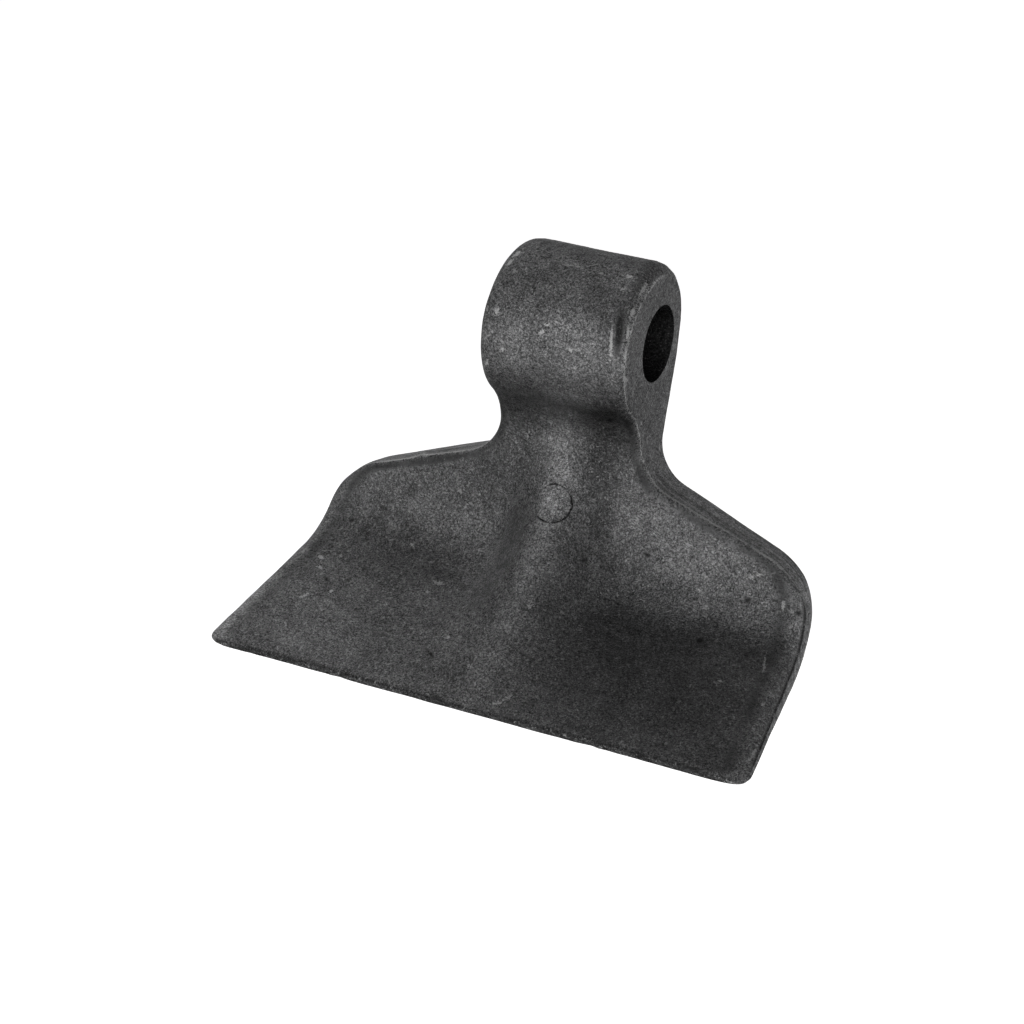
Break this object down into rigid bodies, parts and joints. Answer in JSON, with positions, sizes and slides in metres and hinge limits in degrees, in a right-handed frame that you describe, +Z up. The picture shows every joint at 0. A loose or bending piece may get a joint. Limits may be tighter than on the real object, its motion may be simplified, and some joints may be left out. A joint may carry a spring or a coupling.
{
  "type": "flail mower hammer",
  "caption": "Forged T-shaped flail mower hammer: a barrel eye with a pivot bore, a short ribbed neck and a wide blade bent forward to a thin straight cutting edge.",
  "frame": {"origin": "middle of the pivot bore, on its axis", "axes": "+X along the bore and the cutting edge, -Y towards the cutting side, +Z up from the blade to the eye"},
  "size_m": [0.1536, 0.0703, 0.1138],
  "materials": {
    "forged_steel": "dark forge scale, unpainted, fine-grained and semi-matt"
  },
  "bodies": {
    "root": {"hammer": "forged_steel"}
  },
  "joints": []
}
